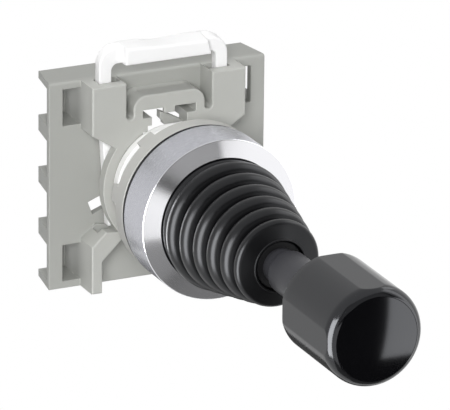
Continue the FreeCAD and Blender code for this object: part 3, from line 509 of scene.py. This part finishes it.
middle = crestOf(boot["folds"] - 1)[1]
split = crestOf(boot["splitFold"] - 1)[1] - boot["pitch"] / 2
splitRow = (foldRadius(split), split)
baseRows = collarRows() + foldRows(1, boot["splitFold"]) + [splitRow]
foldedRows = foldRows(boot["splitFold"], boot["folds"])
tipRows = [row for row in foldedRows if row[1] > middle] + bootEnd()
bootBase = latheObject("bootBase", baseRows, boot["segments"])
bootTip = latheObject("bootTip", tipRows, boot["segments"])
for piece in (bootBase, bootTip):
    dress(piece, "boot_rubber")
    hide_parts("bellows")
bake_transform(bootBase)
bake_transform(bootTip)
print("boot made")


# Sleeve: slim where it leaves the boot, then a round shoulder up to the wide part

sleeve = {
    "rear": (3.2, -22.2),
    "shoulder": -35.3,
    "shoulderLength": 0.75,
    "shoulderSteps": 10,
    "front": (3.9, -53.5),
    "segments": 96,
}


def sleeveProfile():
    slim, wide = sleeve["rear"][0], sleeve["front"][0]
    shoulder, length, steps = sleeve["shoulder"], sleeve["shoulderLength"], sleeve["shoulderSteps"]
    rows = [sleeve["rear"], (slim, shoulder)]
    for step in range(1, steps + 1):
        turn = math.radians(90 * step / steps)
        rows.append((slim + (wide - slim) * math.sin(turn),
                     shoulder - length * (1 - math.cos(turn))))
    return rows + [sleeve["front"]]


leverSleeve = latheObject("lever_sleeve", sleeveProfile(), sleeve["segments"])
dress(leverSleeve, "shaft_plastic")
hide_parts("shaft_sleeve")
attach(leverSleeve, "lever")
print("sleeve made")


# Knob: drum with four flats that show the directions, and a domed front

knob = {
    "boreRadius": 3.95,
    "boreDepth": 3.0,
    "rear": (8.98, -51.6),
    "rearRounding": 0.22,
    "shoulder": (8.98, -67.5),
    "shoulderReach": (2.0, 2.45),
    "shoulderTurn": 74,
    "capGap": 0.06,
    "capJoint": ((0.4, 1), (1, 1), (1.4, 0)),
    "crown": -70.4,
    "crownTip": 0.001,
    "flatDepth": 0.3,
    "flats": 4,
    "softEdge": 0.015,
    "rearSteps": 6,
    "drumSteps": 12,
    "shoulderSteps": 24,
    "crownSteps": 32,
    "segments": 480,
}


def smoothLower(first, second, width):
    # the lower of the two, with a soft change where they are within the width
    blend = max(width - abs(first - second), 0) / width
    return min(first, second) - blend * blend * width / 4


def flatRadiusAt(radius, depth, turn):
    step = 2 * math.pi / knob["flats"]
    away = (turn + step / 2) % step - step / 2
    floor = (knob["shoulder"][0] - knob["flatDepth"]) / math.cos(away)
    return smoothLower(radius, floor, knob["softEdge"])


def knobProfile():
    # rear edge, drum, rounded shoulder, a fine joint and the domed cap
    bore, rear, front = knob["boreRadius"], knob["rear"], knob["shoulder"]
    rounding = knob["rearRounding"]
    rows = [(bore, rear[1] - knob["boreDepth"]), (bore, rear[1])]
    for step in range(knob["rearSteps"] + 1):
        turn = math.radians(90 - 90 * step / knob["rearSteps"])
        rows.append((rear[0] - rounding + rounding * math.cos(turn),
                     rear[1] - rounding + rounding * math.sin(turn)))
    for step in range(1, knob["drumSteps"]):
        share = step / knob["drumSteps"]
        rows.append((rear[0] + (front[0] - rear[0]) * share,
                     rear[1] - rounding + (front[1] - rear[1] + rounding) * share))
    across, along = knob["shoulderReach"]
    for step in range(knob["shoulderSteps"] + 1):
        turn = math.radians(knob["shoulderTurn"] * step / knob["shoulderSteps"])
        rows.append((front[0] - across + across * math.cos(turn),
                     front[1] - along * math.sin(turn)))
    edge, level = rows[-1]
    gap = knob["capGap"]
    rows += [(edge - gap * inward, level + gap * back) for inward, back in knob["capJoint"]]
    edge = rows[-1][0]
    crown, tip = knob["crown"], knob["crownTip"]
    for step in range(1, knob["crownSteps"] + 1):
        share = 1 - step / knob["crownSteps"]
        rows.append((max(edge * share, tip), crown + (level - crown) * share ** 2))
    return rows


grip = latheObject("flatted_grip", knobProfile(), knob["segments"], flatRadiusAt)
dress(grip, "knob_plastic")
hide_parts("knob")
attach(grip, "lever")
print("knob made")


# Latch: one bar swept up the left leg, across the finger grip and down the right leg.
# Inner, outer, shoulder and front edge are given for the left and then for the right.

latch = {
    "inner": (10.15, 10.04),
    "outer": (12.55, 12.34),
    "taper": 0.07,
    "taperTop": 19.0,
    "bottom": -7.7,
    "reliefRadius": 10.75,
    "front": 15.45,
    "rear": 17.5,
    "gripFront": 13.7,
    "gripLeft": -8.13,
    "gripRight": 8.45,
    "gripBottom": 22.5,
    "elbow": 1.2,
    "shoulder": (3.7, 4.4),
    "crown": ((-9.2, 26.03), (-5.2, 26.03), (-1.7, 25.62), (5.4, 25.92), (8.6, 25.92)),
    "frontEdge": (25.5, 24.94),
    "softEdge": 0.35,
    "softLimit": 0.45,
    "legMiddle": 9,
    "fallPower": 4,
    "besideLeft": (0.4, 0.01),
    "besideRight": (0.01, 0.2),
    "legSteps": 24,
    "elbowSteps": 14,
    "gripSteps": 40,
    "softSteps": 6,
    "cornerPoints": 6,
}


def crownAt(across):
    # height of the hoop's top, in smooth steps from one point of its line to the next
    points = latch["crown"]
    if across <= points[0][0]:
        return points[0][1]
    for first, second in zip(points, points[1:]):
        if across <= second[0]:
            share = (across - first[0]) / (second[0] - first[0])
            return first[1] + (second[1] - first[1]) * (1 - math.cos(math.pi * share)) / 2
    return points[-1][1]


def frontEdgeAt(across):
    left, right = latch["frontEdge"]
    share = (across - latch["gripLeft"]) / (latch["gripRight"] - latch["gripLeft"])
    return left + (right - left) * min(max(share, 0), 1)


def legStations(side):
    # from the leg's foot up to the elbow, each with its inner and outer point, its front depth
    # and the drop of its front edge
    inner, outer, shoulder = (latch[name][0 if side < 0 else 1]
                              for name in ("inner", "outer", "shoulder"))
    elbow, front = latch["elbow"], latch["front"]
    bottom, top = latch["bottom"], latch["gripBottom"] - elbow
    crown = crownAt(side * latch["legMiddle"])
    drop = crown - frontEdgeAt(side * latch["legMiddle"])
    stations = []
    for step in range(latch["legSteps"] + 1):
        height = bottom + (top - bottom) * step / latch["legSteps"]
        relief = math.sqrt(max(latch["reliefRadius"] ** 2 - height ** 2, 0))
        edge = outer - latch["taper"] * max(latch["taperTop"] - height, 0)
        stations.append(((side * max(inner, relief), height), (side * edge, height), front, 0))
    for step in range(1, latch["elbowSteps"] + 1):
        turn = math.radians(90 * step / latch["elbowSteps"])
        near = (inner - elbow * (1 - math.cos(turn)), top + elbow * math.sin(turn))
        far = (outer - shoulder * (1 - math.cos(turn)), crown - shoulder * (1 - math.sin(turn)))
        fall = drop * math.sin(turn) ** latch["fallPower"]
        stations.append(((side * near[0], near[1]), (side * far[0], far[1]), front, fall))
    return stations


def gripFrontAt(across):
    # the grip stands out in front of the legs, with soft corners at both ends
    inset = min(across - latch["gripLeft"], latch["gripRight"] - across)
    if inset < 0:
        return latch["front"]
    soft = latch["softEdge"]
    return latch["gripFront"] + soft - math.sqrt(max(soft ** 2 - max(soft - inset, 0) ** 2, 0))


def gripStations(first, last):
    # between the legs' last stations: close together at the grip's ends and even along it
    left, right, soft = latch["gripLeft"], latch["gripRight"], latch["softEdge"]
    steps, cornerSteps = latch["gripSteps"], latch["softSteps"]
    insets = [soft * (1 - math.cos(math.radians(90 * step / cornerSteps)))
              for step in range(cornerSteps + 1)]
    places = [left - gap for gap in latch["besideLeft"]]
    places += [left + inset for inset in insets]
    places += [left + soft + (right - left - 2 * soft) * step / steps
               for step in range(1, steps)]
    places += [right - inset for inset in insets[::-1]]
    places += [right + gap for gap in latch["besideRight"]]
    stations = []
    start, end = first[0][0], last[0][0]
    for place in places:
        share = (place - start) / (end - start)
        far = first[1][0] + (last[1][0] - first[1][0]) * share
        crown = crownAt(far)
        drop = crown - frontEdgeAt(far)
        stations.append(((place, latch["gripBottom"]), (far, crown), gripFrontAt(place), drop))
    return stations


def barSection(station):
    # four soft corners; the outer front edge lies lower by the drop
    near, far, front, drop = station
    across, upward = far[0] - near[0], far[1] - near[1]
    width = math.hypot(across, upward)
    reach = min(latch["softEdge"], width * latch["softLimit"])
    corners = [(0, latch["rear"]), (width, latch["rear"]), (width - drop, front), (0, front)]
    points = []
    for place, corner in enumerate(corners):
        before, after = corners[place - 1], corners[(place + 1) % len(corners)]
        ends = []
        for other in (before, after):
            length = math.hypot(other[0] - corner[0], other[1] - corner[1])
            ends.append([corner[axis] + (other[axis] - corner[axis]) * reach / length
                         for axis in (0, 1)])
        for step in range(latch["cornerPoints"]):
            share = step / (latch["cornerPoints"] - 1)
            along, depth = [
                (1 - share) ** 2 * ends[0][axis] + 2 * share * (1 - share) * corner[axis]
                + share ** 2 * ends[1][axis] for axis in (0, 1)]
            points.append((near[0] + across * along / width, depth,
                           near[1] + upward * along / width))
    return points


def makeLatch():
    leftLeg, rightLeg = legStations(-1), legStations(1)
    stations = leftLeg + gripStations(leftLeg[-1], rightLeg[-1]) + rightLeg[::-1]
    sections = [barSection(station) for station in stations]
    points = [point for section in sections for point in section]
    return makeObject("latch_hoop", points, closedFaces(len(sections), len(sections[0])))


latchHoop = makeLatch()
dress(latchHoop, "latch_plastic")
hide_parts("latch")
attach(latchHoop, "latch_slide")
print("latch made")


# Return spring: pressed together just enough to leave room for the screw's head as it swings

spring = {
    "radius": 2.5,
    "wire": 0.32,
    "turns": 5,
    "front": 9.24,
    "rear": 13.637,
    "steps": 36,
    "sides": 6,
    "sharpAngle": 70,
}


def makeSpring():
    points, faces = [], []
    front, sides = spring["front"], spring["sides"]
    total = spring["turns"] * spring["steps"]
    for step in range(total + 1):
        turn = 2 * math.pi * step / spring["steps"]
        depth = front + (spring["rear"] - front) * step / total
        for side in range(sides):
            angle = 2 * math.pi * side / sides
            reach = spring["radius"] + spring["wire"] * math.cos(angle)
            points.append(ringPoint(reach, depth + spring["wire"] * math.sin(angle), turn))
    for row in range(total):
        for side in range(sides):
            beside = (side + 1) % sides
            faces.append((row * sides + side, (row + 1) * sides + side,
                          (row + 1) * sides + beside, row * sides + beside))
    faces.append(tuple(range(sides)))
    faces.append(tuple(total * sides + side for side in range(sides))[::-1])
    return makeObject("spring_coil", points, faces, spring["sharpAngle"])


springCoil = makeSpring()
dress(springCoil, "spring_steel")
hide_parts("return_spring")
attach(springCoil, "operator")
print("spring made")


# Thread on the neck, between the nut and the holder's ring

thread = {
    "coreRadius": 10.96,
    "height": 0.28,
    "pitch": 1.5,
    "rear": 12.5,
    "front": 4.4,
    "profile": ((-0.42, 0), (-0.12, 1), (0.12, 1), (0.42, 0)),
    "runOut": 12,
    "steps": 72,
    "sharpAngle": 25,
}


def makeThread():
    points = []
    turns = (thread["rear"] - thread["front"]) / thread["pitch"]
    total = int(turns * thread["steps"])
    for step in range(total + 1):
        turn = 2 * math.pi * step / thread["steps"]
        depth = thread["front"] + thread["pitch"] * step / thread["steps"]
        # the crest runs out at both ends
        runOut = thread["runOut"]
        rise = thread["height"] * min(1, step / runOut, (total - step) / runOut)
        for offset, lift in thread["profile"]:
            radius = thread["coreRadius"] + rise * lift
            points.append(ringPoint(radius, depth + offset * thread["pitch"], turn))
    faces = closedFaces(total + 1, len(thread["profile"]))
    return makeObject("neck_thread", points, faces, thread["sharpAngle"])


neckThread = makeThread()
dress(neckThread, "white_plastic")
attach(neckThread, "operator")
print("thread made")


# Studio: pale floor well below the part, white backdrop, soft lamps and cards seen only in gloss

studio = {
    "floorHeight": -0.6,
    "floorSize": 8,
    "floorColour": (0.9, 0.9, 0.9),
    "floorRoughness": 0.9,
    "worldLight": 0.32,
    "gloss": 0.8,
    "centre": (0, -0.03, 0),
    "cardDistance": 0.55,
    "cardSteps": 12,
}

# each lamp: place in metres, size, power
lamps = {
    "keyLamp": ((-0.58, -1.0, 0.48), 0.45, 12.8),
    "fillLamp": ((0.9, -0.5, 0.3), 0.7, 0.4),
    "topLamp": ((-0.1, 0.12, 1.0), 0.25, 4.0),
}

# each card: degrees from the front towards the right, degrees up, brightness
cards = {
    "frontFlag": ((-34, 27.5), (-48, 12), 0.02),
    "upperFlag": ((-45, 50), (14, 46), 0.02),
    "lowerFlag": ((27.5, 62), (-48, -27), 0.02),
    "rightCard": ((28, 62), (-27, 12), 2.6),
    "rightUpperCard": ((62, 118), (10, 52), 2.3),
    "leftCard": ((-92, -54), (-40, 24), 9.0),
    "lowerFrontCard": ((-34, 62), (-60, -48), 0.17),
    "lowerCard": ((-10, 90), (-88, -60), 0.2),
    "backLeftCard": ((-176, -130), (-45, 5), 0.82),
    "rightRearCard": ((62, 112), (-40, 10), 2.2),
    "backLowerFlag": ((138, 183), (-62, -22), 0.1),
}

# cards close to the bezel, which light its bevel: the same, then centre and distance
nearCards = {
    "bevelLeftCard": ((-19, -3), (-26, 3.5), 1.12, (-0.0125, -0.0085, 0), 0.11),
    "bevelLowCard": ((-24, 4), (-52, -26.5), 0.25, (-0.0125, -0.0085, 0), 0.11),
    "bevelTopCard": ((-20, 24), (4.5, 22), 0.38, (-0.005, -0.0085, 0.011), 0.11),
    "bevelRightCard": ((24, 84), (-36, 30), 1.0, (0, -0.0085, 0), 0.07),
}


def makeWorld():
    # white for the camera, nearly white in reflections, and dimmer as light
    world = bpy.data.worlds.new("whiteRoom")
    bpy.context.scene.world = world
    world.use_nodes = True
    tree = world.node_tree
    tree.nodes.clear()
    output = tree.nodes.new("ShaderNodeOutputWorld")
    ray = tree.nodes.new("ShaderNodeLightPath")
    white = tree.nodes.new("ShaderNodeBackground")
    soft = tree.nodes.new("ShaderNodeBackground")
    mix = tree.nodes.new("ShaderNodeMixShader")
    seenOrGlossy = tree.nodes.new("ShaderNodeMath")
    bright = tree.nodes.new("ShaderNodeMath")
    seenOrGlossy.operation = bright.operation = "ADD"
    bright.use_clamp = True
    white.inputs["Color"].default_value = (1, 1, 1, 1)
    level = tree.nodes.new("ShaderNodeMath")
    level.operation = "MULTIPLY_ADD"
    level.inputs[1].default_value = 1 - studio["gloss"]
    level.inputs[2].default_value = studio["gloss"]
    tree.links.new(ray.outputs["Is Camera Ray"], level.inputs[0])
    tree.links.new(level.outputs[0], white.inputs["Strength"])
    soft.inputs["Strength"].default_value = studio["worldLight"]
    tree.links.new(ray.outputs["Is Camera Ray"], seenOrGlossy.inputs[0])
    tree.links.new(ray.outputs["Is Glossy Ray"], seenOrGlossy.inputs[1])
    tree.links.new(seenOrGlossy.outputs[0], bright.inputs[0])
    tree.links.new(ray.outputs["Is Transmission Ray"], bright.inputs[1])
    tree.links.new(bright.outputs[0], mix.inputs["Fac"])
    tree.links.new(soft.outputs[0], mix.inputs[1])
    tree.links.new(white.outputs[0], mix.inputs[2])
    tree.links.new(mix.outputs[0], output.inputs["Surface"])


def makeFloor():
    half = studio["floorSize"] / 2
    level = studio["floorHeight"]
    mesh = bpy.data.meshes.new("paleFloor")
    outline = ((-half, -half), (half, -half), (half, half), (-half, half))
    corners = [(across, depth, level) for across, depth in outline]
    mesh.from_pydata(corners, [], [(0, 1, 2, 3)])
    floor = bpy.data.objects.new("paleFloor", mesh)
    bpy.context.scene.collection.objects.link(floor)
    material = bpy.data.materials.new("paleFloor")
    material.use_nodes = True
    tree = material.node_tree
    shader = tree.nodes["Principled BSDF"]
    shader.inputs["Base Color"].default_value = (*studio["floorColour"], 1)
    shader.inputs["Roughness"].default_value = studio["floorRoughness"]
    ray = tree.nodes.new("ShaderNodeLightPath")
    glow = tree.nodes.new("ShaderNodeEmission")
    both = tree.nodes.new("ShaderNodeMath")
    both.operation = "MAXIMUM"
    mix = tree.nodes.new("ShaderNodeMixShader")
    tree.links.new(ray.outputs["Is Camera Ray"], both.inputs[0])
    tree.links.new(ray.outputs["Is Glossy Ray"], both.inputs[1])
    tree.links.new(both.outputs[0], mix.inputs["Fac"])
    tree.links.new(shader.outputs[0], mix.inputs[1])
    tree.links.new(glow.outputs[0], mix.inputs[2])
    tree.links.new(mix.outputs[0], tree.nodes["Material Output"].inputs["Surface"])
    floor.data.materials.append(material)


def addSoftbox(name, place, size, power):
    lamp = bpy.data.lights.new(name, "AREA")
    lamp.shape = "RECTANGLE"
    lamp.size = size
    lamp.size_y = size
    lamp.energy = power
    box = bpy.data.objects.new(name, lamp)
    box.location = place
    sight = Vector(studio["centre"]) - Vector(place)
    box.rotation_euler = sight.to_track_quat("-Z", "Y").to_euler()
    # the cards stand for the lamps in reflections
    box.visible_glossy = False
    bpy.context.scene.collection.objects.link(box)


def aim(azimuth, elevation):
    level = math.cos(elevation)
    return Vector((math.sin(azimuth) * level, -math.cos(azimuth) * level, math.sin(elevation)))


def addCard(name, across, upward, brightness,
            centre=studio["centre"], distance=studio["cardDistance"]):
    # curved card that only reflections see: a dark flag, or glowing like a softbox
    steps = studio["cardSteps"]
    points = []
    for row in range(steps + 1):
        elevation = math.radians(upward[0] + (upward[1] - upward[0]) * row / steps)
        for column in range(steps + 1):
            azimuth = math.radians(across[0] + (across[1] - across[0]) * column / steps)
            points.append(Vector(centre) + aim(azimuth, elevation) * distance)
    faces = []
    for row in range(steps):
        for column in range(steps):
            first = row * (steps + 1) + column
            faces.append((first, first + 1, first + steps + 2, first + steps + 1))
    mesh = bpy.data.meshes.new(name)
    mesh.from_pydata(points, [], faces)
    card = bpy.data.objects.new(name, mesh)
    bpy.context.scene.collection.objects.link(card)
    material = bpy.data.materials.new(name)
    material.use_nodes = True
    tree = material.node_tree
    tree.nodes.remove(tree.nodes["Principled BSDF"])
    glow = tree.nodes.new("ShaderNodeEmission")
    glow.inputs["Strength"].default_value = brightness
    tree.links.new(glow.outputs[0], tree.nodes["Material Output"].inputs["Surface"])
    card.data.materials.append(material)
    card.visible_camera = False
    card.visible_diffuse = False
    card.visible_transmission = False
    card.visible_shadow = False


makeWorld()
makeFloor()
for name, (place, size, power) in lamps.items():
    addSoftbox(name, place, size, power)
for name, card in (cards | nearCards).items():
    addCard(name, *card)
print("studio made")


# Camera at the photo's view

view = {
    "azimuth": 25.257,
    "elevation": 20.345,
    "roll": 0.638,
    "distance": 1089.8,
    "target": (4.813, 0, -0.728),
    "focalPixels": 6199.2,
    "photoWidth": 450,
    "clipStart": 0.01,
}


def makeCamera():
    azimuth, elevation, roll = (math.radians(view[name])
                                for name in ("azimuth", "elevation", "roll"))
    level = math.cos(elevation)
    forward = Vector((math.sin(azimuth) * level, math.cos(azimuth) * level, -math.sin(elevation)))
    right = Vector((math.cos(azimuth), -math.sin(azimuth), 0))
    up = right.cross(forward)
    tilted = right * math.cos(roll) + up * math.sin(roll)
    upright = up * math.cos(roll) - right * math.sin(roll)
    turn = Matrix((tilted, upright, -forward)).transposed().to_4x4()
    place = (Vector(view["target"]) - forward * view["distance"]) * mm
    lens = bpy.data.cameras.new("photoCamera")
    lens.sensor_fit = "HORIZONTAL"
    lens.lens = view["focalPixels"] * lens.sensor_width / view["photoWidth"]
    lens.clip_start = view["clipStart"]
    camera = bpy.data.objects.new("photoCamera", lens)
    camera.matrix_world = Matrix.Translation(place) @ turn
    bpy.context.scene.collection.objects.link(camera)
    bpy.context.scene.camera = camera


makeCamera()
bpy.context.scene.view_settings.view_transform = "Standard"
print("camera set")
